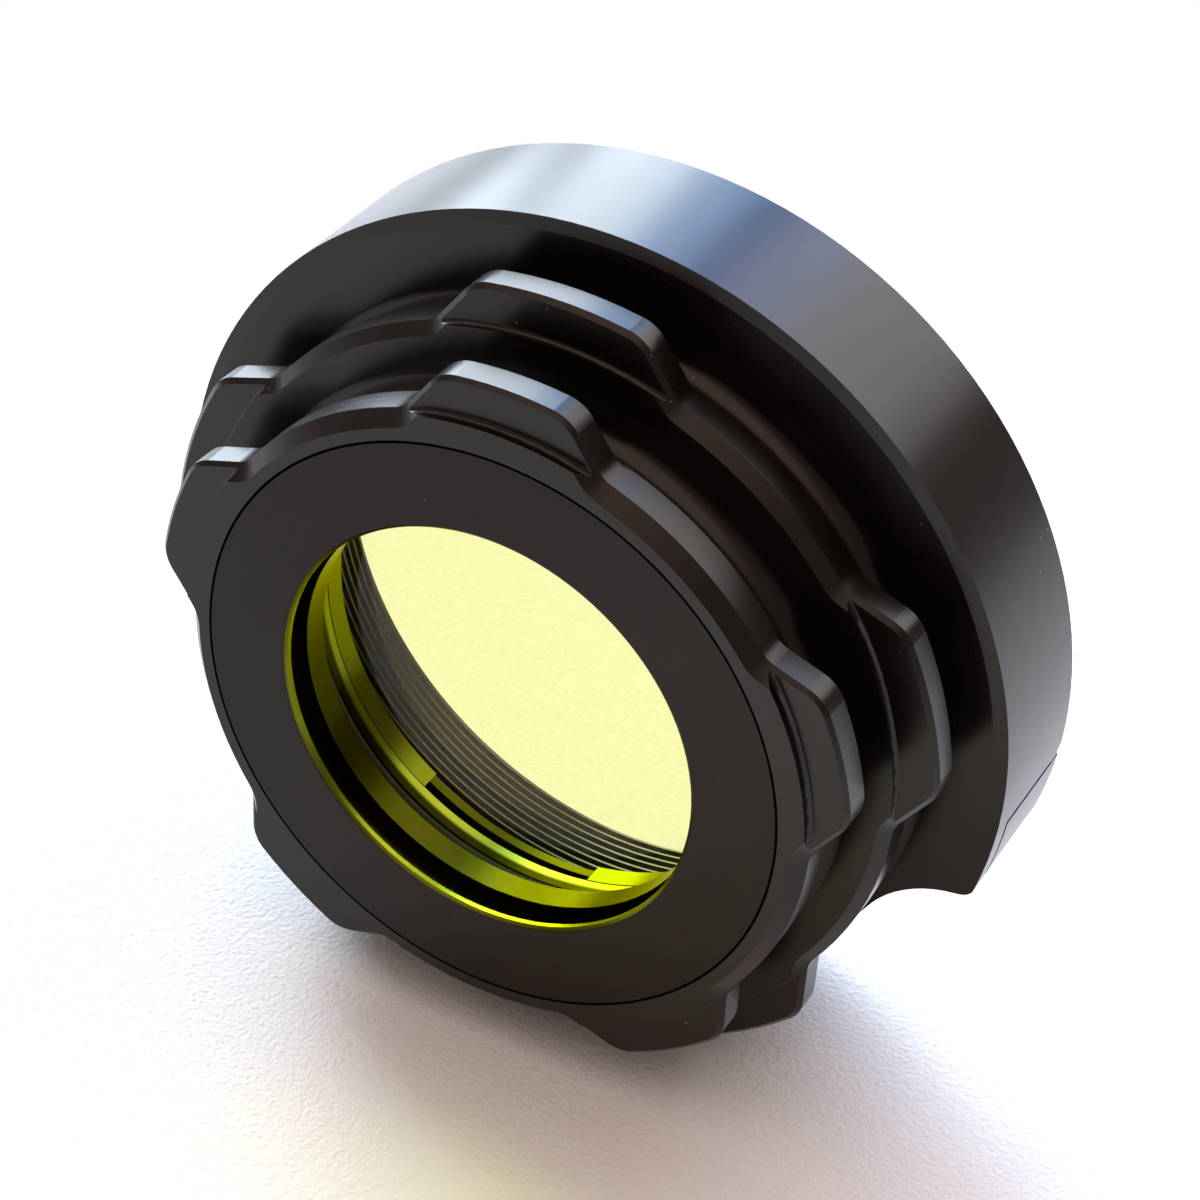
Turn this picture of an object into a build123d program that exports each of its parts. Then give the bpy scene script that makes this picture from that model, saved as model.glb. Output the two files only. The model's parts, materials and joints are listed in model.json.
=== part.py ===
from build123d import *
import math
import os

# Contrast booster filter: a yellow glass in a screwed cell, carried by a turned and milled holder
# that screws onto a 52 mm thread and is pinched there by its slit clamp arm.
# Millimetres, +Z up, the optical axis along Y, the front of the filter towards -Y.
# Origin: on the optical axis, in the plane of the rear mounting face.
# A depth is measured backwards from the front face.

# Glass
glass_radius = 20.0
glass_thickness = 2.0
glass_bevel = 0.2
pocket_clearance = 0.1

# Filter cell, sized round the glass
glass_seat = 4.77
glass_overlap = 3.75
aperture_chamfer = 0.25
baffle_groove_front = 0.63
baffle_groove_rear = 2.7
baffle_groove_cut = 1.2
cell_wall = 1.9
cell_face_step = 0.75
cell_face_thickness = 2.5
cell_rear_wall = 0.74
cell_rear_chamfer = 0.4
cell_clearance = 0.05

# Seal, spacer and snap ring behind the glass
seal_section = 1.78
seal_inset = 0.9
seal_clearance = 0.02
spacer_width = 1.05
spacer_length = 2.15
spacer_lead = 0.7
snap_ring_bite = 0.75
snap_ring_depth = 1.9
snap_ring_width = 1.7
snap_ring_float = 0.03
snap_ring_gap_middle = 100.0
snap_ring_gap = 45.0
snap_ring_end_slant = 0.9

# Holder: hub and grip rings round the cell
hub_wall = 2.05
ring_1_face = 0.75
ring_1_thickness = 2.65
ring_1_lobe_height = 2.95
groove_1_width = 3.45
ring_2_rise = 3.2
ring_2_step = 0.5
ring_2_thickness = 2.6
ring_2_lobe_height = 3.1
groove_2_width = 3.15

# Rear mounting thread, cut to its full diameter, and the drum round it
mount_thread_radius = 26.0
mount_mouth_chamfer = 0.4
drum_wall = 7.6
drum_length = 11.7
flange_web = 1.1
rim_chamfer_width = 1.0
rim_chamfer_depth = 0.15
drum_rear_chamfer = 0.3

# Grip lobes, cut with a small end mill
lobe_count = 5
lobe_angle = 18.0
ring_1_lobe_top = 9.1
ring_1_lobe_base = 13.4
ring_2_lobe_top = 11.8
ring_2_lobe_base = 16.4
lobe_overrun = 3.0
lobe_corner = 2.8
lobe_root = 2.2
lobe_step_fillet = 0.3
ring_1_lobe_chamfer = 0.3
ring_2_lobe_chamfer = 0.35

# Cut-away under the drum, which leaves the clamp arm
shelf_drop = 9.2
arm_wall = 2.4
cut_away_radius = 8.7
ear_corner = 1.0

# Slit that frees the arm
slit_drop = 3.3
slit_width = 0.4
slit_setback = 0.9
slit_arc = 144.0
slit_corner_chamfer = 1.0

# Clamp screw, its head sunk in the ear of the arm
screw_radius = 1.25
screw_length = 10.0
screw_head_radius = 2.25
screw_head_height = 2.5
screw_head_cover = 0.1
screw_head_clearance = 0.25
screw_socket_width = 2.0
screw_socket_depth = 1.2
screw_tip_chamfer = 0.3
screw_hole_clearance = 0.15
tap_run_out = 1.8
thread_clearance = 0.02

# Worked out from the sizes above: radii from the glass outwards
pocket_radius = glass_radius + pocket_clearance
aperture_radius = glass_radius - glass_overlap
baffle_groove_radius = aperture_radius + baffle_groove_cut
seal_mean_radius = glass_radius - seal_inset
spacer_outer_radius = pocket_radius - cell_clearance
spacer_inner_radius = spacer_outer_radius - spacer_width
snap_ring_outer_radius = pocket_radius + snap_ring_bite
snap_ring_inner_radius = snap_ring_outer_radius - snap_ring_depth
snap_groove_radius = snap_ring_outer_radius + cell_clearance
cell_thread_radius = pocket_radius + cell_wall
cell_face_radius = cell_thread_radius + cell_face_step
hub_radius = cell_face_radius + hub_wall
ring_1_radius = hub_radius + ring_1_lobe_height
ring_2_hub_radius = hub_radius + ring_2_rise
ring_2_radius = ring_2_hub_radius + ring_2_lobe_height
drum_radius = mount_thread_radius + drum_wall
arm_radius = mount_thread_radius + arm_wall
beyond = 2 * drum_radius

# Depths of the holder, from the front face backwards
ring_1_rear = ring_1_face + ring_1_thickness
ring_2_front = ring_1_rear + groove_1_width
ring_2_rear = ring_2_front + ring_2_step + ring_2_thickness
flange_front = ring_2_rear + groove_2_width
cavity_front = flange_front + flange_web
slit_depth = cavity_front + slit_setback
length = flange_front + drum_length
front = -length

# Depths of the glass and of what holds it; the spacer's lead rests on the seal
glass_rear = glass_seat + glass_thickness
seal_middle = glass_rear + seal_section / 2
seal_reach = seal_section / 2 + seal_clearance
lead_offset = spacer_inner_radius + spacer_lead - seal_mean_radius
spacer_front = seal_middle + math.sqrt(seal_reach ** 2 - lead_offset ** 2)
spacer_rear = spacer_front + spacer_length
snap_groove_rear = spacer_rear + snap_ring_width + 2 * snap_ring_float
cell_length = snap_groove_rear + cell_rear_wall

# Place of the clamp screw, in the middle of the ear
ear_inside = math.sqrt(mount_thread_radius ** 2 - shelf_drop ** 2)
ear_outside = math.sqrt(drum_radius ** 2 - shelf_drop ** 2)
screw_x = (ear_inside + ear_outside) / 2
screw_depth = (slit_depth + slit_width + length) / 2
screw_seat_z = screw_head_height + screw_head_cover - shelf_drop
tapped_depth = screw_seat_z + screw_length + slit_drop + tap_run_out


def at(depth):
    """Place on Y of a depth behind the front face."""
    return front + depth


def turned(points, arc=360.0, start=0.0):
    """Revolves a closed outline of (radius, depth) points about the optical axis."""
    outline = Polyline(*[(radius, at(depth)) for radius, depth in points], close=True)
    face = Rot(0, start, 0) * make_face(outline)
    return revolve(face, Axis.Y, arc)


def round_groove(centre_radius, middle_depth, groove_radius):
    """Full-radius groove round the hub, as the solid that is cut away."""
    section = Pos(centre_radius, at(middle_depth)) * Circle(groove_radius)
    return revolve(section, Axis.Y, 360)


def front_view(sketch, depth, thickness):
    """Extrudes a sketch drawn as seen from the front, backwards from a depth."""
    plane = Plane((0, at(depth), 0), x_dir=(1, 0, 0), z_dir=(0, -1, 0))
    return extrude(plane * sketch, -thickness)


def lobed_outline(hub, tip, top_width, base_width):
    """Round hub with grip lobes standing out of it, their corners and roots rounded, from the front."""
    slope = (base_width - top_width) / (tip - hub) / 2
    half_top = top_width / 2 - slope * lobe_overrun
    half_foot = base_width / 2 + slope * lobe_overrun
    flanks = make_face(Polyline(
        (-half_foot, hub - lobe_overrun),
        (half_foot, hub - lobe_overrun),
        (half_top, tip + lobe_overrun),
        (-half_top, tip + lobe_overrun),
        close=True,
    ))
    lobe = flanks & Circle(tip)
    outline = Rot(0, 0, lobe_angle) * Circle(hub)
    for index in range(lobe_count):
        outline += Rot(0, 0, lobe_angle - 90 + index * 360 / lobe_count) * lobe
    middle = (hub + tip) / 2
    corners = [v for v in outline.vertices() if math.hypot(v.X, v.Y) > middle]
    outline = fillet(corners, lobe_corner)
    roots = [v for v in outline.vertices() if math.hypot(v.X, v.Y) < hub + ring_1_lobe_chamfer]
    return fillet(roots, lobe_root)


def step_cut(hub, face_depth, step):
    """Turned step that sets the lobes' faces back from the hub's face, as the solid cut away."""
    section = make_face(Polyline(
        (hub, at(face_depth - step)),
        (beyond, at(face_depth - step)),
        (beyond, at(face_depth + step)),
        (hub, at(face_depth + step)),
        close=True,
    ))
    corner = section.vertices().sort_by(Axis.X)[:2].sort_by(Axis.Y)[-1]
    return revolve(fillet(corner, lobe_step_fillet), Axis.Y, 360)


def lobed_plate(outline, hub, face_depth, step, rear_depth, edge_chamfer):
    """Plate with grip lobes: one chamfer cut follows its whole front edge, then the lobes are faced back."""
    plate = front_view(outline, face_depth, rear_depth - face_depth)
    front_rim = plate.faces().sort_by(Axis.Y)[0].edges()
    plate = chamfer(front_rim, step + edge_chamfer)
    rear_rim = plate.faces().sort_by(Axis.Y)[-1].edges()
    plate = chamfer(rear_rim, edge_chamfer)
    return plate - step_cut(hub, face_depth, step)


def arm_outline():
    """Outline of the drum with the area round the clamp arm milled away, seen from the front."""
    above = Pos(0, (beyond - shelf_drop) / 2) * Rectangle(2 * beyond, beyond + shelf_drop)
    outline = above + Circle(arm_radius)
    inside = [v for v in outline.vertices() if abs(v.X) < drum_radius]
    outline = fillet(inside, cut_away_radius) & Circle(drum_radius)
    return offset(offset(outline, -ear_corner), ear_corner)


def drum():
    """Flange and drum behind the grip rings, with the area under the arm milled away."""
    blank = turned([
        (0, flange_front),
        (drum_radius - rim_chamfer_width, flange_front),
        (drum_radius, flange_front + rim_chamfer_depth),
        (drum_radius, length - drum_rear_chamfer),
        (drum_radius - drum_rear_chamfer, length),
        (0, length),
    ])
    return blank & front_view(arm_outline(), flange_front, length - flange_front)


def hub():
    """Turned hub with both grip rings and the round grooves behind them."""
    ring_1_chamfer = ring_1_face + ring_1_lobe_chamfer
    ring_2_chamfer = ring_2_front + ring_2_step + ring_2_lobe_chamfer
    core = turned([
        (0, ring_1_chamfer),
        (hub_radius, ring_1_chamfer),
        (hub_radius, ring_2_chamfer),
        (ring_2_hub_radius, ring_2_chamfer),
        (ring_2_hub_radius, flange_front),
        (0, flange_front),
    ])
    ring_1 = lobed_outline(hub_radius, ring_1_radius, ring_1_lobe_top, ring_1_lobe_base)
    ring_2 = lobed_outline(ring_2_hub_radius, ring_2_radius, ring_2_lobe_top, ring_2_lobe_base)
    core += lobed_plate(ring_1, hub_radius, 0, ring_1_face, ring_1_rear, ring_1_lobe_chamfer)
    core += lobed_plate(ring_2, ring_2_hub_radius, ring_2_front, ring_2_step, ring_2_rear,
                        ring_2_lobe_chamfer)
    core -= round_groove(hub_radius, (ring_1_rear + ring_2_front) / 2, groove_1_width / 2)
    core -= round_groove(ring_2_hub_radius, (ring_2_rear + flange_front) / 2, groove_2_width / 2)
    return core


def bores():
    """Seat and thread for the cell, and the rear mounting thread, as the solid that is bored out."""
    return turned([
        (0, 0),
        (cell_face_radius + cell_clearance, 0),
        (cell_face_radius + cell_clearance, cell_face_thickness),
        (cell_thread_radius + cell_clearance, cell_face_thickness),
        (cell_thread_radius + cell_clearance, cavity_front),
        (mount_thread_radius, cavity_front),
        (mount_thread_radius, length - mount_mouth_chamfer),
        (mount_thread_radius + mount_mouth_chamfer, length),
        (0, length),
    ])


def slit():
    """Slit along the drum and saw cut round the arm that let the arm close."""
    run = length - slit_depth
    along = Pos(drum_radius, at(length - run / 2), -slit_drop) * Box(drum_radius, run, slit_width)
    start = math.degrees(math.asin((slit_drop - slit_width / 2) / drum_radius))
    inside = cell_thread_radius + cell_clearance
    round_arm = turned([
        (inside, slit_depth),
        (beyond, slit_depth),
        (beyond, slit_depth + slit_width),
        (inside, slit_depth + slit_width),
    ], slit_arc, start)
    corner_z = -slit_drop + slit_width / 2
    wedge = make_face(Polyline(
        (at(length), corner_z),
        (at(length - slit_corner_chamfer), corner_z),
        (at(length), corner_z + slit_corner_chamfer),
        close=True,
    ))
    bevel = extrude(Plane((0, 0, 0), x_dir=(0, 1, 0), z_dir=(1, 0, 0)) * wedge, beyond)
    return [along, round_arm, bevel]


def clamp_screw_holes():
    """Counterbore and clearance hole in the ear of the arm, and tapped hole above the slit."""
    place = Pos(screw_x, at(screw_depth), 0)
    head_room = shelf_drop + cut_away_radius
    down = (Align.CENTER, Align.CENTER, Align.MAX)
    up = (Align.CENTER, Align.CENTER, Align.MIN)
    sink = Cylinder(screw_head_radius + screw_head_clearance, head_room, align=down)
    clear = Cylinder(screw_radius + screw_hole_clearance, head_room, align=down)
    tapped = Cylinder(screw_radius + thread_clearance, tapped_depth, align=up)
    return [
        place * Pos(0, 0, screw_seat_z) * sink,
        place * Pos(0, 0, -slit_drop) * clear,
        place * Pos(0, 0, -slit_drop) * tapped,
    ]


def holder_body():
    """One-piece holder with grip rings, flange, drum and clamp arm."""
    body = hub() + drum()
    body -= bores()
    body -= slit()
    body -= clamp_screw_holes()
    return body


def filter_cell():
    """Screwed cell: front ring with the clear aperture, and the pocket that the glass drops into."""
    return turned([
        (aperture_radius + aperture_chamfer, 0),
        (cell_face_radius, 0),
        (cell_face_radius, cell_face_thickness),
        (cell_thread_radius, cell_face_thickness),
        (cell_thread_radius, cell_length - cell_rear_chamfer),
        (cell_thread_radius - cell_rear_chamfer, cell_length),
        (pocket_radius, cell_length),
        (pocket_radius, snap_groove_rear),
        (snap_groove_radius, snap_groove_rear),
        (snap_groove_radius, spacer_rear),
        (pocket_radius, spacer_rear),
        (pocket_radius, glass_seat),
        (aperture_radius, glass_seat),
        (aperture_radius, baffle_groove_rear),
        (baffle_groove_radius, baffle_groove_rear),
        (baffle_groove_radius, baffle_groove_front),
        (aperture_radius, baffle_groove_front),
        (aperture_radius, aperture_chamfer),
    ])


def filter_glass():
    """Yellow glass disc with bevelled edges."""
    return turned([
        (0, glass_seat),
        (glass_radius - glass_bevel, glass_seat),
        (glass_radius, glass_seat + glass_bevel),
        (glass_radius, glass_rear - glass_bevel),
        (glass_radius - glass_bevel, glass_rear),
        (0, glass_rear),
    ])


def seal_ring():
    """Round-section ring that presses the glass on its seat."""
    section = Pos(seal_mean_radius, at(seal_middle)) * Circle(seal_section / 2)
    return revolve(section, Axis.Y, 360)


def spacer_ring():
    """Turned ring between the seal and the snap ring, with a lead towards the glass."""
    return turned([
        (spacer_inner_radius + spacer_lead, spacer_front),
        (spacer_outer_radius, spacer_front),
        (spacer_outer_radius, spacer_rear),
        (spacer_inner_radius, spacer_rear),
        (spacer_inner_radius, spacer_front + spacer_lead),
    ])


def snap_ring():
    """Sprung ring in the cell's groove, open at the bottom, its ends cut on the slant."""
    ring_front = spacer_rear + snap_ring_float
    ring_rear = ring_front + snap_ring_width
    ring = turned([
        (snap_ring_inner_radius, ring_front),
        (snap_ring_outer_radius, ring_front),
        (snap_ring_outer_radius, ring_rear),
        (snap_ring_inner_radius, ring_rear),
    ], 360 - snap_ring_gap, snap_ring_gap_middle + snap_ring_gap / 2)
    for side in (-1, 1):
        angle = math.radians(snap_ring_gap_middle + side * snap_ring_gap / 2)
        outwards = Vector(math.cos(angle), 0, -math.sin(angle))
        corner = outwards * snap_ring_outer_radius + Vector(0, at(ring_front), 0)
        plane = Plane(corner, x_dir=(0, 1, 0), z_dir=outwards)
        run = -side * snap_ring_end_slant
        wedge = make_face(Polyline((0, 0), (snap_ring_width, 0), (0, run), close=True))
        ring -= extrude(plane * wedge, snap_ring_width, both=True)
    return ring


def clamp_screw():
    """Socket head cap screw that pulls the ear of the arm up towards the drum."""
    head_bottom = screw_seat_z - screw_head_height
    up = (Align.CENTER, Align.CENTER, Align.MIN)
    shank = Pos(0, 0, screw_seat_z) * Cylinder(screw_radius, screw_length, align=up)
    shank = chamfer(shank.edges().group_by(Axis.Z)[-1], screw_tip_chamfer)
    head = Pos(0, 0, head_bottom) * Cylinder(screw_head_radius, screw_head_height, align=up)
    head = chamfer(head.edges().group_by(Axis.Z)[0], screw_tip_chamfer)
    socket = extrude(RegularPolygon(screw_socket_width / 2, 6, major_radius=False), screw_socket_depth)
    screw = head + shank - Pos(0, 0, head_bottom) * socket
    return Pos(screw_x, at(screw_depth), 0) * screw


nodes = {
    "holder_body": holder_body(),
    "filter_cell": filter_cell(),
    "filter_glass": filter_glass(),
    "seal_ring": seal_ring(),
    "spacer_ring": spacer_ring(),
    "snap_ring": snap_ring(),
    "clamp_screw": clamp_screw(),
}

os.makedirs("parts", exist_ok=True)
for name, shape in nodes.items():
    export_step(shape, f"parts/{name}.step")
    print(name, "solids", len(shape.solids()), "volume mm3", round(shape.volume, 1))
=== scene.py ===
"""Looks of the contrast booster filter: finishes, fine rear thread, studio and camera.

Lengths are in metres, in the part's own frame: the optical axis along Y, the front face towards -Y,
the rear face that seats on the instrument in the plane y = 0, and +Z up.
"""

import json
import logging
import math
from dataclasses import dataclass, field
from enum import Enum
from typing import Union

import bmesh
import bpy
from mathutils import Matrix, Vector


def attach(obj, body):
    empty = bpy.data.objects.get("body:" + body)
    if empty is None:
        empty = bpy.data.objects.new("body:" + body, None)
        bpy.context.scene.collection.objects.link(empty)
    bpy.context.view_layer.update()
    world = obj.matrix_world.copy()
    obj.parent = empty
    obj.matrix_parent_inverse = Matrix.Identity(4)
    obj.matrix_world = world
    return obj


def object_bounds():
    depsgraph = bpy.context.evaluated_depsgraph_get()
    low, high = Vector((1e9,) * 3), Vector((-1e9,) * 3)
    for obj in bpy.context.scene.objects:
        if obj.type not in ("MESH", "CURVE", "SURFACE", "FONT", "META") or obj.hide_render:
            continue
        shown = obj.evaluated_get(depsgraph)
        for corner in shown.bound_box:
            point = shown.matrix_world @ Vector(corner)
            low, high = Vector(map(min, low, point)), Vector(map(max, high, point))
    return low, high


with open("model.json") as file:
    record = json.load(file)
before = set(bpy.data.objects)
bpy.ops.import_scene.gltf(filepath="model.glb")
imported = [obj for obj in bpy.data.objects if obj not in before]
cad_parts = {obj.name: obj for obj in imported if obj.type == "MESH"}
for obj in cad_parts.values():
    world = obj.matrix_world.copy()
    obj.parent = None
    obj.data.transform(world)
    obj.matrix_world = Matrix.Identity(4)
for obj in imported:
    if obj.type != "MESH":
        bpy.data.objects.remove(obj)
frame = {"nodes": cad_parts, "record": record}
CAD_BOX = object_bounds()

LOG = logging.getLogger("contrast_filter")
MM = 0.001
BODY = "root"
WHITE = (1.0, 1.0, 1.0)

Colour = tuple[float, float, float]
Span = tuple[float, float]
Number = Union["Signal", float]


class Node(Enum):
    """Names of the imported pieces."""

    HOLDER = "holder_body"
    CELL = "filter_cell"
    GLASS = "filter_glass"
    SEAL = "seal_ring"
    SPACER = "spacer_ring"
    SNAP_RING = "snap_ring"
    SCREW = "clamp_screw"

    @property
    def object(self) -> bpy.types.Object:
        """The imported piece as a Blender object."""
        return frame["nodes"][self.value]


class Operation(Enum):
    """Operations that arithmetic on a shader socket adds."""

    ADD = "ADD"
    SUBTRACT = "SUBTRACT"
    MULTIPLY = "MULTIPLY"
    DIVIDE = "DIVIDE"
    POWER = "POWER"
    MAXIMUM = "MAXIMUM"
    ARCTAN2 = "ARCTAN2"


class Signal:
    """A number that a shader socket carries, on which arithmetic can be written."""

    def __init__(self, sheet: "NodeSheet", socket: bpy.types.NodeSocket) -> None:
        """Wraps a socket of a sheet's tree."""
        self.sheet = sheet
        self.socket = socket

    def combine(self, operation: Operation, first: Number, second: Number) -> "Signal":
        """Adds the Math node of an operation.

        Args:
            operation: what the node does.
            first: its first value or signal.
            second: its second value or signal.

        Returns:
            The node's result.
        """
        settings = {"operation": operation.value}
        return self.sheet.add("ShaderNodeMath", settings, {0: first, 1: second})

    def __add__(self, other: Number) -> "Signal":
        """Sum."""
        return self.combine(Operation.ADD, self, other)

    def __radd__(self, other: Number) -> "Signal":
        """Sum, from the right."""
        return self.combine(Operation.ADD, other, self)

    def __sub__(self, other: Number) -> "Signal":
        """Difference."""
        return self.combine(Operation.SUBTRACT, self, other)

    def __rsub__(self, other: Number) -> "Signal":
        """Difference, from the right."""
        return self.combine(Operation.SUBTRACT, other, self)

    def __mul__(self, other: Number) -> "Signal":
        """Product."""
        return self.combine(Operation.MULTIPLY, self, other)

    def __rmul__(self, other: Number) -> "Signal":
        """Product, from the right."""
        return self.combine(Operation.MULTIPLY, other, self)

    def __truediv__(self, other: Number) -> "Signal":
        """Quotient."""
        return self.combine(Operation.DIVIDE, self, other)

    def __pow__(self, other: Number) -> "Signal":
        """Power."""
        return self.combine(Operation.POWER, self, other)

    def at_least(self, other: Number) -> "Signal":
        """The larger of this and another value."""
        return self.combine(Operation.MAXIMUM, self, other)

    def angle_over(self, other: Number) -> "Signal":
        """Angle of the point whose height is this and whose reach is the other value."""
        return self.combine(Operation.ARCTAN2, self, other)

    def between(self, low: float, high: float) -> "Signal":
        """Smooth step of this value.

        Args:
            low: value at which the step starts, where the result is 0.
            high: value at which it ends, where the result is 1.

        Returns:
            The step, from 0 to 1.
        """
        sockets = {0: self, 1: low, 2: high, 3: 0.0, 4: 1.0}
        return self.sheet.add("ShaderNodeMapRange", {"interpolation_type": "SMOOTHSTEP"}, sockets)

    def within(self, rise: Span, fall: Span) -> "Signal":
        """Smooth step up and down again.

        Args:
            rise: values between which the result goes from 0 to 1.
            fall: values between which it goes back to 0.

        Returns:
            The band, from 0 to 1.
        """
        return self.between(*rise) * (1.0 - self.between(*fall))


class NodeSheet:
    """The node tree of a material or of the world."""

    def __init__(self, owner: bpy.types.ID) -> None:
        """Empties the owner's tree."""
        owner.use_nodes = True
        self.tree = owner.node_tree
        self.tree.nodes.clear()

    def add(self, kind: str, settings: dict[str, object], sockets: dict[int | str, object],
            result: int | str = 0) -> Signal:
        """Adds a node.

        Args:
            kind: the node's type.
            settings: properties of the node, set first.
            sockets: values of its inputs, or the signals that are linked to them.
            result: name or number of the output that is used.

        Returns:
            That output.
        """
        node = self.tree.nodes.new(kind)
        for name, value in settings.items():
            setattr(node, name, value)
        for key, value in sockets.items():
            if isinstance(value, Signal):
                self.tree.links.new(value.socket, node.inputs[key])
            else:
                node.inputs[key].default_value = value
        return Signal(self, node.outputs[result])

    def point(self) -> Signal:
        """The shaded point's object coordinates."""
        return self.add("ShaderNodeTexCoord", {}, {}, "Object")

    def axes(self, place: Signal) -> tuple[Signal, Signal, Signal]:
        """The three coordinates of a place."""
        x = self.add("ShaderNodeSeparateXYZ", {}, {0: place})
        outputs = x.socket.node.outputs
        return x, Signal(self, outputs[1]), Signal(self, outputs[2])

    def vector(self, x: Number, y: Number, z: Number) -> Signal:
        """A vector of three numbers or signals."""
        return self.add("ShaderNodeCombineXYZ", {}, {0: x, 1: y, 2: z})

    def noise(self, place: Signal, scale: float, detail: float) -> Signal:
        """Noise from 0 to 1 at a place."""
        sockets = {"Vector": place, "Scale": scale, "Detail": detail}
        return self.add("ShaderNodeTexNoise", {}, sockets)

    def colour_mix(self, share: Number, first: Colour | Signal, second: Colour | Signal) -> Signal:
        """Colour between two colours.

        Args:
            share: share of the second colour, from 0 to 1.
            first: colour at 0, or a signal.
            second: colour at 1, or a signal.

        Returns:
            The mixed colour.
        """
        ends = [end if isinstance(end, Signal) else (*end, 1.0) for end in (first, second)]
        sockets = {0: share, 6: ends[0], 7: ends[1]}
        return self.add("ShaderNodeMix", {"data_type": "RGBA"}, sockets, 2)

    def shader_mix(self, share: Number, first: Signal, second: Signal) -> Signal:
        """Shader between two shaders, the first at a share of 0."""
        return self.add("ShaderNodeMixShader", {}, {0: share, 1: first, 2: second})

    def bump(self, height: Signal, strength: float, distance: float) -> Signal:
        """Normal of a surface with a relief of some height."""
        sockets = {"Strength": strength, "Distance": distance, "Height": height}
        return self.add("ShaderNodeBump", {}, sockets)

    def surface(self, shader: Signal, kind: str = "ShaderNodeOutputMaterial") -> None:
        """Makes a shader the sheet's surface, through an output node of a kind."""
        node = self.tree.nodes.new(kind)
        self.tree.links.new(shader.socket, node.inputs["Surface"])


@dataclass(frozen=True)
class TurnedPlace:
    """Where a shaded point lies on a turned piece."""

    point: Signal
    radius: Signal
    angle: Signal
    depth: Signal

    @classmethod
    def on(cls, sheet: NodeSheet) -> "TurnedPlace":
        """Reads the point's radius, angle and place along the axis."""
        point = sheet.point()
        x, y, z = sheet.axes(point)
        return cls(point, (x * x + z * z) ** 0.5, z.angle_over(x), y)


@dataclass(frozen=True)
class PaintedGlowZone:
    """Painted light on the inside of a piece, for the yellow light that has passed the glass."""

    radius: float
    # Painted light: the yellow colour of the inside and the yellow tint of its reflections.
    base_colour: Colour = (0.030, 0.029, 0.003)
    gloss_tint: Colour = (1.0, 0.97, 0.2)
    front: float = -24.76 * MM
    edge: float = 0.02 * MM
    # Painted light: the front lip is painted brighter.
    lip_end: float = -24.17 * MM
    lip_painted_light: Colour = (0.15, 0.17, 0.014)
    # Painted shade: darker in front of this depth, where it is set.
    painted_shade_before: float = -25.0 * MM
    painted_shade_colour: Colour = (0.007, 0.007, 0.001)
    painted_shade_width: float = 0.4 * MM

    def over(self, place: TurnedPlace, metal: Signal, roughness: Signal, normal: Signal) -> Signal:
        """Lays the painted light and shade of the inside over a piece's metal.

        Args:
            place: the shaded point.
            metal: the shader of the rest of the piece.
            roughness: the metal's roughness.
            normal: the metal's normal.

        Returns:
            The metal with the painted light and shade of its inside.
        """
        sheet = metal.sheet
        # Masks of the painted light on the front lip and of the painted shade towards the front.
        lip = 1.0 - place.depth.between(self.lip_end - self.edge, self.lip_end + self.edge)
        shade_end = self.painted_shade_before + self.painted_shade_width
        shaded = 1.0 - place.depth.between(self.painted_shade_before, shade_end)
        base_colour = sheet.colour_mix(lip, self.base_colour, self.lip_painted_light)
        painted_light_metal = sheet.add("ShaderNodeBsdfPrincipled", {}, {
            "Base Color": sheet.colour_mix(shaded, base_colour, self.painted_shade_colour),
            "Roughness": roughness,
            "Metallic": 1.0,
            "Normal": normal,
            "Specular Tint": (*self.gloss_tint, 1.0),
        })
        # The painted light and shade go only inside a radius and behind the front face.
        inside = 1.0 - place.radius.between(self.radius - self.edge, self.radius + self.edge)
        behind_face = place.depth.between(self.front - self.edge, self.front + self.edge)
        return sheet.shader_mix(inside * behind_face, metal, painted_light_metal)


@dataclass(frozen=True)
class Seam:
    """Dark line on the front face where the cell's ring meets the holder."""

    radius: float = 22.75 * MM
    half_width: float = 0.125 * MM
    core_share: float = 0.6
    face_end: float = -24.5 * MM
    edge: float = 0.02 * MM
    base_colour: Colour = (0.001, 0.001, 0.001)

    def over(self, place: TurnedPlace, metal: Signal) -> Signal:
        """Draws the line on a piece's metal.

        Args:
            place: the shaded point.
            metal: the metal's shader.

        Returns:
            The metal with its seam.
        """
        sheet = metal.sheet
        off = place.radius - self.radius
        core = self.core_share * self.half_width
        line = 1.0 - (off * off).between(core ** 2, self.half_width ** 2)
        on_face = 1.0 - place.depth.between(self.face_end, self.face_end + self.edge)
        dark = sheet.add("ShaderNodeBsdfDiffuse", {}, {"Color": (*self.base_colour, 1.0)})
        return sheet.shader_mix(line * on_face, metal, dark)


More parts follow.
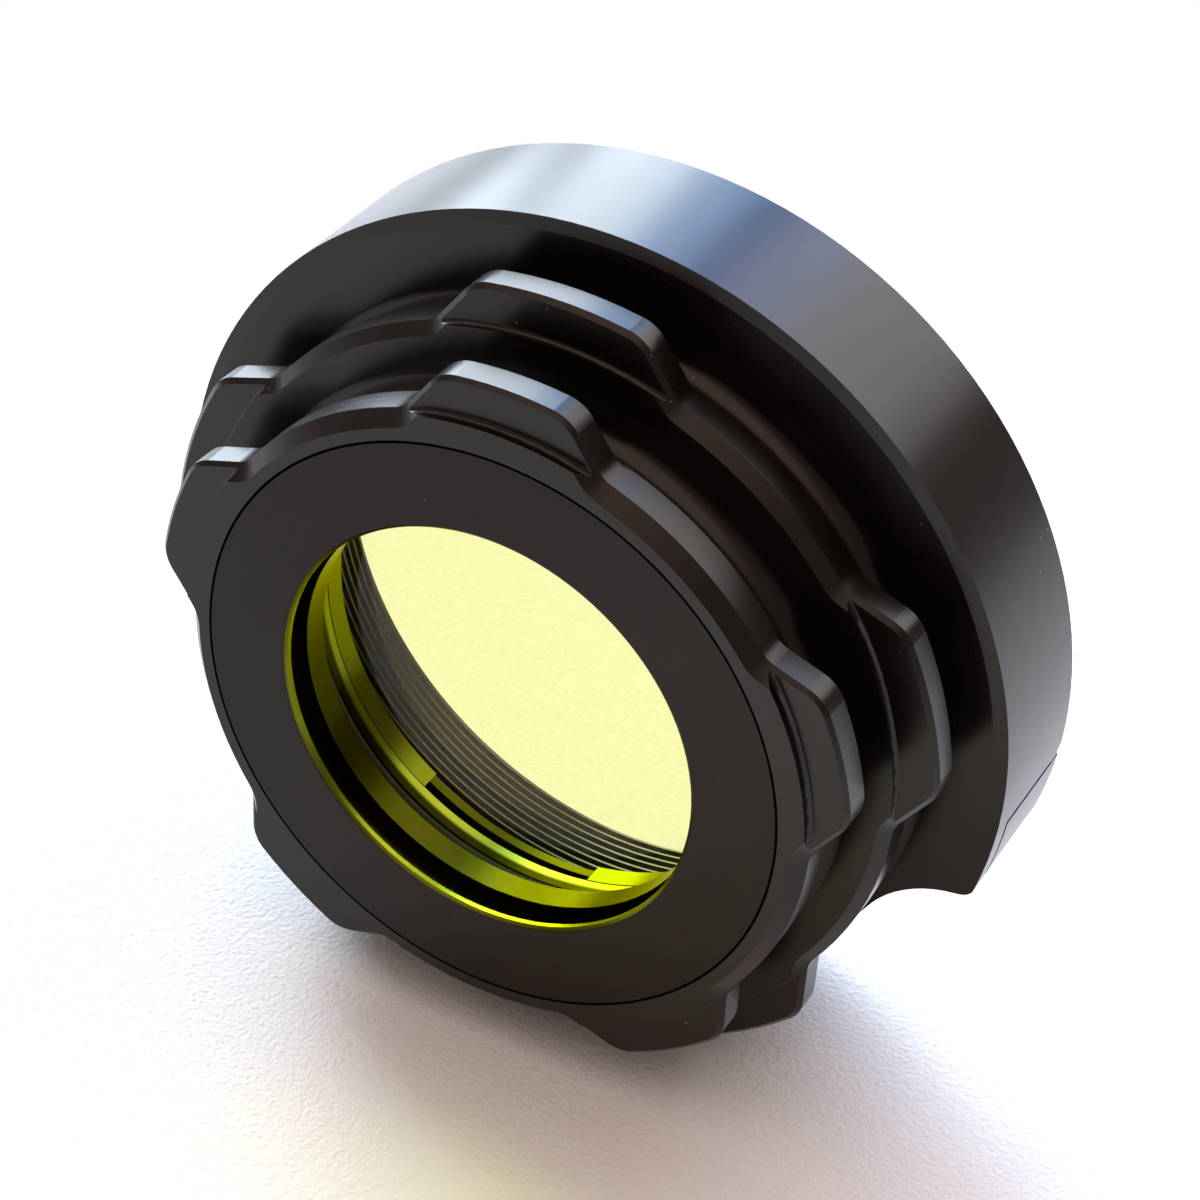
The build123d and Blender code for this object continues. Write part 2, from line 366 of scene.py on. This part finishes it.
@dataclass(frozen=True)
class MetalFinish:
    """Dark metal with fine tool marks that run round the axis."""

    name: str
    base_colour: Colour
    dye_worn: Colour
    roughness: float
    ior: float = 1.43
    gloss_tint: Colour = (1.0, 0.94, 0.88)
    roughness_spread: float = 0.05
    mark_pitch: float = 0.11 * MM
    mark_turns: float = 1.5
    mark_depth: float = 0.0026 * MM
    mark_strength: float = 0.6
    grain_pitch: float = 0.06 * MM
    grain_depth: float = 0.0005 * MM
    cloud_scale: float = 260.0
    cloud_span: Span = (0.35, 0.7)
    speck_pitch: float = 0.45 * MM
    speck_span: Span = (0.80, 0.84)
    speck_colour: Colour = (0.16, 0.16, 0.17)
    # Painted light on the piece's inside, if any.
    painted_glow: PaintedGlowZone | None = None
    seam: Seam | None = None

    def marks(self, place: TurnedPlace) -> Signal:
        """Pattern of the tool marks, from 0 to 1."""
        sheet = place.point.sheet
        radius = place.radius / self.mark_pitch
        depth = place.depth / self.mark_pitch
        return sheet.noise(sheet.vector(radius, depth, place.angle * self.mark_turns), 1.0, 2.0)

    def colour(self, place: TurnedPlace, clouds: Signal) -> Signal:
        """The base colour, a little worn in clouds, with tiny specks of dust.

        Args:
            place: the shaded point.
            clouds: soft pattern of the wear.

        Returns:
            The colour.
        """
        sheet = place.point.sheet
        base_colour = sheet.colour_mix(clouds.between(*self.cloud_span), self.base_colour, self.dye_worn)
        specks = sheet.noise(place.point, 1 / self.speck_pitch, 1.0).between(*self.speck_span)
        return sheet.colour_mix(specks, base_colour, self.speck_colour)

    def normal(self, place: TurnedPlace, marks: Signal) -> Signal:
        """Relief of the tool marks and of the metal's grain.

        Args:
            place: the shaded point.
            marks: pattern of the tool marks.

        Returns:
            The normal.
        """
        sheet = place.point.sheet
        return sheet.add("ShaderNodeBump", {}, {
            "Strength": 1.0,
            "Distance": self.grain_depth,
            "Height": sheet.noise(place.point, 1 / self.grain_pitch, 2.0),
            "Normal": sheet.bump(marks, self.mark_strength, self.mark_depth),
        })

    def material(self) -> bpy.types.Material:
        """Builds the finish.

        Returns:
            Its material.
        """
        material = bpy.data.materials.new(self.name)
        sheet = NodeSheet(material)
        place = TurnedPlace.on(sheet)
        marks = self.marks(place)
        clouds = sheet.noise(place.point, self.cloud_scale, 3.0)
        spread = marks * self.roughness_spread + clouds * self.roughness_spread
        roughness = spread + (self.roughness - self.roughness_spread)
        normal = self.normal(place, marks)
        shader = sheet.add("ShaderNodeBsdfPrincipled", {}, {
            "Base Color": self.colour(place, clouds),
            "Roughness": roughness,
            "Normal": normal,
            "IOR": self.ior,
            "Specular Tint": (*self.gloss_tint, 1.0),
        })
        # Lays the painted light and shade over the inside.
        if self.painted_glow:
            shader = self.painted_glow.over(place, shader, roughness, normal)
        if self.seam:
            shader = self.seam.over(place, shader)
        sheet.surface(shader)
        return material


@dataclass(frozen=True)
class GlassFinish:
    """Clear coloured glass that also lets the lamps' light through."""

    name: str
    tint: Colour
    passed: Colour
    ior: float = 1.52
    gloss_tint: Colour = (0.35, 0.3, 0.22)
    haze_scale: float = 140.0
    haze_span: Span = (0.3, 0.8)
    haze_roughness: float = 0.02

    def material(self) -> bpy.types.Material:
        """Builds the glass.

        Returns:
            Its material.
        """
        material = bpy.data.materials.new(self.name)
        sheet = NodeSheet(material)
        haze = sheet.noise(sheet.point(), self.haze_scale, 2.0).between(*self.haze_span)
        glass = sheet.add("ShaderNodeBsdfPrincipled", {}, {
            "Base Color": (*self.tint, 1.0),
            "Roughness": haze * self.haze_roughness,
            "Transmission Weight": 1.0,
            "IOR": self.ior,
            "Specular Tint": (*self.gloss_tint, 1.0),
        })
        clear = sheet.add("ShaderNodeBsdfTransparent", {}, {"Color": (*self.passed, 1.0)})
        to_lamp = sheet.add("ShaderNodeLightPath", {}, {}, "Is Shadow Ray")
        sheet.surface(sheet.shader_mix(to_lamp, glass, clear))
        return material


@dataclass(frozen=True)
class RubberFinish:
    """Matt black rubber with a fine moulded grain, its weak sheen painted yellow-green for the
    yellow light through the glass.
    """

    name: str
    colour: Colour = (0.012, 0.012, 0.01)
    worn: Colour = (0.02, 0.019, 0.014)
    roughness: float = 0.55
    roughness_spread: float = 0.1
    ior: float = 1.12
    # Painted light: the rubber's weak sheen tinted yellow-green for the light through the glass.
    gloss_tint: Colour = (0.35, 0.38, 0.08)
    grain_scale: float = 9000.0
    grain_strength: float = 0.6
    grain_depth: float = 0.003 * MM

    def material(self) -> bpy.types.Material:
        """Builds the rubber.

        Returns:
            Its material.
        """
        material = bpy.data.materials.new(self.name)
        sheet = NodeSheet(material)
        grain = sheet.noise(sheet.point(), self.grain_scale, 2.0)
        sheet.surface(sheet.add("ShaderNodeBsdfPrincipled", {}, {
            "Base Color": sheet.colour_mix(grain, self.colour, self.worn),
            "Roughness": grain * self.roughness_spread + self.roughness,
            "IOR": self.ior,
            "Specular Tint": (*self.gloss_tint, 1.0),
            "Normal": sheet.bump(grain, self.grain_strength, self.grain_depth),
        }))
        return material


def dress(node: Node, material: bpy.types.Material) -> None:
    """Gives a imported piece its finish.

    Args:
        node: the piece.
        material: the finish.
    """
    slots = node.object.data.materials
    slots.clear()
    slots.append(material)
    LOG.info("dressed %s", node.value)


def add_piece(name: str, maker: bmesh.types.BMesh, material: bpy.types.Material,
              sharp_angle: float) -> None:
    """Turns a finished bmesh into a piece of the part.

    Args:
        name: the piece's name.
        maker: the bmesh, which is freed.
        material: its finish.
        sharp_angle: edges that turn by more degrees stay sharp.
    """
    mesh = bpy.data.meshes.new(name)
    maker.to_mesh(mesh)
    maker.free()
    mesh.shade_smooth()
    mesh.set_sharp_from_angle(angle=math.radians(sharp_angle))
    mesh.materials.append(material)
    piece = bpy.data.objects.new(name, mesh)
    bpy.context.scene.collection.objects.link(piece)
    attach(piece, BODY)
    LOG.info("built %s: %d faces", name, len(mesh.polygons))


def direction(azimuth: float, elevation: float) -> Vector:
    """Direction as seen from the part.

    Args:
        azimuth: degrees from the rear, +Y, towards +X.
        elevation: degrees above the level.

    Returns:
        Its unit vector.
    """
    turn = math.radians(azimuth)
    lift = math.radians(elevation)
    level = math.cos(lift)
    return Vector((math.sin(turn) * level, math.cos(turn) * level, math.sin(lift)))


@dataclass
class RearThread:
    """Turns of the fine thread in the holder's rear bore, left out where the slit crosses them."""

    pitch: float = 0.75 * MM
    relief: float = 1.24 * MM
    end_share: float = 0.9
    mouth: float = 0.4 * MM
    crest_share: float = 0.25
    root_share: float = 0.875
    height_share: float = 0.541
    seat: float = 0.01 * MM
    slit_drop: float = 3.3 * MM
    slit_width: float = 0.4 * MM
    steps: int = 240
    sharp_angle: float = 20.0
    mount: dict = field(default_factory=lambda: next(
        m for m in frame["record"]["mounts"] if m["name"] == "rear_thread"))

    @property
    def wall_radius(self) -> float:
        """Radius of the bore's wall, at the roots of the thread."""
        return self.mount["dims"]["r_mm"] * MM

    @property
    def wall_length(self) -> float:
        """Length of the bore's wall, from the shoulder to the chamfer at its mouth."""
        return self.mount["dims"]["length_mm"] * MM

    @property
    def turns(self) -> int:
        """Whole turns between the relief at the shoulder and the mouth."""
        return int((self.wall_length - self.relief) / self.pitch - self.end_share)

    def section(self, maker: bmesh.types.BMesh, y: float) -> bmesh.types.BMFace:
        """Adds the cross section of one ridge, in the plane z = 0.

        Args:
            maker: the bmesh.
            y: place of the ridge's middle along the axis.

        Returns:
            The section's face.
        """
        foot = self.wall_radius + self.seat
        crest = self.wall_radius - self.height_share * self.pitch
        half_foot = self.root_share * self.pitch / 2
        half_crest = self.crest_share * self.pitch / 2
        corners = (
            (foot, -half_foot), (foot, half_foot), (crest, half_crest), (crest, -half_crest))
        verts = [maker.verts.new((radius, y + along, 0)) for radius, along in corners]
        return maker.faces.new(verts)

    def build(self, material: bpy.types.Material) -> None:
        """Builds the thread.

        Args:
            material: its finish.
        """
        maker = bmesh.new()
        gap = self.slit_width / self.wall_radius
        start = -math.asin(self.slit_drop / self.wall_radius) + gap / 2
        sweep = 2 * math.pi - gap
        rise = self.pitch * sweep / (2 * math.pi) / self.steps
        first = -self.mouth - self.wall_length + self.relief
        centre = (0, 0, 0)
        for turn in range(self.turns):
            face = self.section(maker, first + self.pitch * (turn + 0.5))
            to_slit = Matrix.Rotation(-start, 3, "Y")
            bmesh.ops.rotate(maker, cent=centre, matrix=to_slit, verts=list(face.verts))
            bmesh.ops.spin(
                maker, geom=[face, *face.edges, *face.verts], cent=centre, axis=(0, -1, 0),
                dvec=(0, rise, 0), angle=sweep, steps=self.steps, use_merge=False)
        bmesh.ops.recalc_face_normals(maker, faces=list(maker.faces))
        add_piece("rear_thread_turns", maker, material, self.sharp_angle)


@dataclass
class Holder:
    """The one-piece holder with its grip rings, drum, clamp arm and rear thread."""

    finish: MetalFinish = MetalFinish(
        "black_anodised_holder", (0.0035, 0.0021, 0.0015), (0.005, 0.0032, 0.0025), 0.26,
        seam=Seam())
    thread_finish: MetalFinish = MetalFinish(
        "black_anodised_thread", (0.0045, 0.0036, 0.0022), (0.006, 0.005, 0.003), 0.28,
        gloss_tint=(1.0, 0.92, 0.72), mark_strength=0.15)
    thread: RearThread = field(default_factory=RearThread)

    def build(self) -> None:
        """Dresses the holder and cuts its thread."""
        dress(Node.HOLDER, self.finish.material())
        self.thread.build(self.thread_finish.material())


@dataclass
class Cell:
    """The screwed cell with what holds the glass in it."""

    # Painted light: the cell's inside is coloured yellow for the light through the glass, brighter
    # on its front lip.
    finish: MetalFinish = MetalFinish(
        "black_anodised_cell_painted_glow", (0.0045, 0.0026, 0.0018), (0.006, 0.0038, 0.0028), 0.26,
        ior=1.33, gloss_tint=(0.95, 0.83, 0.73), painted_glow=PaintedGlowZone(21.3 * MM), seam=Seam())
    # Painted light: the spacer is coloured yellow inside, with painted shade on its front part.
    ring_finish: MetalFinish = MetalFinish(
        "black_anodised_spacer_painted_glow", (0.013, 0.012, 0.008), (0.016, 0.015, 0.01), 0.2,
        painted_glow=PaintedGlowZone(21.5 * MM, (0.13, 0.145, 0.018), painted_shade_before=-15.2 * MM))
    # Painted light: the snap ring is coloured yellow inside.
    spring_finish: MetalFinish = MetalFinish(
        "dark_spring_steel_painted_glow", (0.03, 0.03, 0.028), (0.045, 0.044, 0.04), 0.22,
        painted_glow=PaintedGlowZone(21.5 * MM, (0.085, 0.092, 0.009)))
    seal_finish: RubberFinish = RubberFinish("black_seal_rubber_painted_sheen")

    def build(self) -> None:
        """Dresses the cell's pieces."""
        dress(Node.CELL, self.finish.material())
        dress(Node.SPACER, self.ring_finish.material())
        dress(Node.SNAP_RING, self.spring_finish.material())
        dress(Node.SEAL, self.seal_finish.material())


@dataclass
class YellowGlass:
    """The contrast glass."""

    finish: GlassFinish = GlassFinish(
        "clear_yellow_glass", tint=(0.99, 0.985, 0.45), passed=(0.95, 0.90, 0.12))

    def build(self) -> None:
        """Dresses the glass."""
        dress(Node.GLASS, self.finish.material())


@dataclass
class ClampScrew:
    """The socket head screw of the clamp arm."""

    finish: MetalFinish = MetalFinish(
        "black_oxide_screw", (0.02, 0.019, 0.018), (0.03, 0.029, 0.027), 0.38)

    def build(self) -> None:
        """Dresses the screw."""
        dress(Node.SCREW, self.finish.material())


@dataclass
class SoftLamp:
    """A large soft lamp that faces the part."""

    name: str
    azimuth: float
    elevation: float
    width: float
    height: float
    radiance: float
    colour: Colour
    distance: float = 0.8
    energy_per_radiance: float = 4.0

    def build(self, aim: Vector) -> None:
        """Hangs the lamp.

        Args:
            aim: the point that it faces.
        """
        light = bpy.data.lights.new(self.name, "AREA")
        light.shape = "RECTANGLE"
        light.size = self.width
        light.size_y = self.height
        light.energy = self.energy_per_radiance * self.radiance * self.width * self.height
        light.color = self.colour
        towards = direction(self.azimuth, self.elevation)
        lamp = bpy.data.objects.new(self.name, light)
        lamp.location = aim + towards * self.distance
        lamp.rotation_euler = towards.to_track_quat("Z", "Y").to_euler()
        lamp.visible_camera = False
        bpy.context.scene.collection.objects.link(lamp)


@dataclass
class Floor:
    """Pale grained floor under the part, with painted shade towards its left and darker towards +X,
    white away from it for what looks at it.
    """

    colour: Colour = (0.77, 0.76, 0.755)
    # Painted shade: the floor is darker towards its left, for the part's soft shadow there.
    left_painted_shade: Colour = (0.60, 0.585, 0.58)
    left_span: Span = (-35 * MM, -5 * MM)
    far_colour: Colour = (0.30, 0.28, 0.27)
    far_span: Span = (30 * MM, 400 * MM)
    roughness: float = 0.6
    gloss: float = 0.3
    grain_pitch: float = 0.42 * MM
    grain_depth: float = 0.13 * MM
    grain_span: Span = (0.3, 0.75)
    grain_shade: Colour = (0.93, 0.93, 0.93)
    half_width: float = 4.0
    white_span: Span = (54 * MM, 112 * MM)
    behind_span: Span = (-12 * MM, 2 * MM)

    def material(self) -> bpy.types.Material:
        """Builds the floor's finish.

        Returns:
            Its material.
        """
        material = bpy.data.materials.new("pale_floor")
        sheet = NodeSheet(material)
        point = sheet.point()
        x, y, _ = sheet.axes(point)
        away = sheet.add("ShaderNodeVectorMath", {"operation": "LENGTH"}, {0: point}, "Value")
        grain = sheet.noise(point, 1 / self.grain_pitch, 3.0)
        # Painted shade on the left of the floor.
        near = sheet.colour_mix(x.between(*self.left_span), self.left_painted_shade, self.colour)
        matt = sheet.add("ShaderNodeBsdfPrincipled", {}, {
            "Base Color": sheet.colour_mix(x.between(*self.far_span), near, self.far_colour),
            "Roughness": self.roughness,
            "Specular IOR Level": self.gloss,
            "Normal": sheet.bump(grain, 1.0, self.grain_depth),
        })
        seen = sheet.add("ShaderNodeLightPath", {}, {}, "Is Camera Ray")
        through = Signal(sheet, seen.socket.node.outputs["Is Transmission Ray"])
        grained = grain.between(*self.grain_span) * (1.0 - seen)
        white = sheet.add("ShaderNodeEmission", {}, {
            "Color": sheet.colour_mix(grained, WHITE, self.grain_shade),
            "Strength": 1.0,
        })
        behind = y.between(*self.behind_span)
        share = (away.between(*self.white_span) * seen).at_least(behind * through)
        sheet.surface(sheet.shader_mix(share, matt, white))
        return material

    def build(self) -> None:
        """Lays the floor."""
        maker = bmesh.new()
        bmesh.ops.create_grid(maker, x_segments=2, y_segments=2, size=self.half_width)
        bmesh.ops.translate(maker, vec=(0, 0, CAD_BOX[0][2]), verts=list(maker.verts))
        mesh = bpy.data.meshes.new("floor")
        maker.to_mesh(mesh)
        maker.free()
        mesh.materials.append(self.material())
        floor = bpy.data.objects.new("floor", mesh)
        bpy.context.scene.collection.objects.link(floor)


@dataclass
class Surround:
    """Dim world, warm overhead, pale near the horizon and blue between two lamps.

    The spans are parts of a unit direction along x, y and z.
    """

    colour: Colour = (0.30, 0.25, 0.225)
    overhead: Colour = (1.3, 1.02, 0.9)
    overhead_rise: Span = (0.45, 0.85)
    horizon: Colour = (1.5, 1.7, 1.8)
    horizon_squared_fall: Span = (0.0, 0.08)
    horizon_side_fall: Span = (-0.4, 0.3)
    horizon_rear_rise: Span = (-0.2, 0.3)
    gap: Colour = (0.5, 1.15, 3.1)
    gap_rear_rise: Span = (0.5, 0.7)
    gap_heights: tuple[Span, Span] = ((0.3, 0.45), (0.7, 0.85))
    gap_sides: tuple[Span, Span] = ((-0.4, -0.25), (0.05, 0.25))

    def build(self) -> None:
        """Makes it the scene's world."""
        world = bpy.data.worlds.new("surround")
        bpy.context.scene.world = world
        sheet = NodeSheet(world)
        x, y, z = sheet.axes(sheet.add("ShaderNodeTexCoord", {}, {}, "Generated"))
        low = 1.0 - (z * z).between(*self.horizon_squared_fall)
        lamp_side = 1.0 - x.between(*self.horizon_side_fall)
        near_horizon = low * lamp_side * y.between(*self.horizon_rear_rise)
        colour = sheet.colour_mix(near_horizon, self.colour, self.horizon)
        colour = sheet.colour_mix(z.between(*self.overhead_rise), colour, self.overhead)
        in_gap = y.between(*self.gap_rear_rise) * z.within(*self.gap_heights)
        colour = sheet.colour_mix(in_gap * x.within(*self.gap_sides), colour, self.gap)
        shader = sheet.add("ShaderNodeBackground", {}, {"Color": colour, "Strength": 1.0})
        sheet.surface(shader, "ShaderNodeOutputWorld")


@dataclass
class Studio:
    """The floor, the surround and the lamps."""

    floor: Floor = field(default_factory=Floor)
    surround: Surround = field(default_factory=Surround)
    lamps: tuple[SoftLamp, ...] = (
        SoftLamp("window_lamp", -54.0, 33.0, 0.44, 0.70, 9.4, (0.73, 0.865, 1.0)),
        SoftLamp("middle_pane_lamp", -30.0, 34.0, 0.15, 0.65, 8.6, (0.73, 0.865, 1.0)),
        SoftLamp("side_pane_lamp", -18.5, 38.0, 0.17, 0.52, 4.1, (0.50, 0.73, 1.0)),
        SoftLamp("back_lamp", 19.0, 36.0, 0.52, 0.46, 2.5, (0.96, 0.98, 1.0)),
    )

    def build(self) -> None:
        """Sets the studio up."""
        self.floor.build()
        self.surround.build()
        aim = Vector((0, CAD_BOX[0][1] / 2, 0))
        for lamp in self.lamps:
            lamp.build(aim)


@dataclass
class PhotoCamera:
    """Camera at the photo's place and angle, its azimuth in degrees from the front, -Y, to +X."""

    aim: tuple[float, float, float] = (2.1 * MM, -12.4 * MM, 4.8 * MM)
    distance: float = 221.0 * MM
    azimuth: float = 27.07
    elevation: float = 36.40
    roll: float = 3.95
    lens: float = 93.66
    sensor: float = 36.0
    clip_start: float = 10 * MM

    def build(self) -> None:
        """Places the camera and makes it the scene's."""
        back = direction(180.0 - self.azimuth, self.elevation)
        data = bpy.data.cameras.new("photo_camera")
        data.lens = self.lens
        data.sensor_width = self.sensor
        data.clip_start = self.clip_start
        camera = bpy.data.objects.new("photo_camera", data)
        upright = back.to_track_quat("Z", "Y").to_matrix()
        rolled = upright @ Matrix.Rotation(math.radians(self.roll), 3, "Z")
        place = Matrix.Translation(Vector(self.aim) + back * self.distance)
        camera.matrix_world = place @ rolled.to_4x4()
        bpy.context.scene.collection.objects.link(camera)
        bpy.context.scene.camera = camera


def main() -> None:
    """Builds the part's looks, the studio and the camera."""
    logging.basicConfig(level=logging.INFO)
    bpy.context.scene.view_settings.view_transform = "Standard"
    PhotoCamera().build()
    for assembly in (Holder(), Cell(), YellowGlass(), ClampScrew(), Studio()):
        assembly.build()
        LOG.info("finished %s", type(assembly).__name__)


if __name__ == "__main__":
    main()
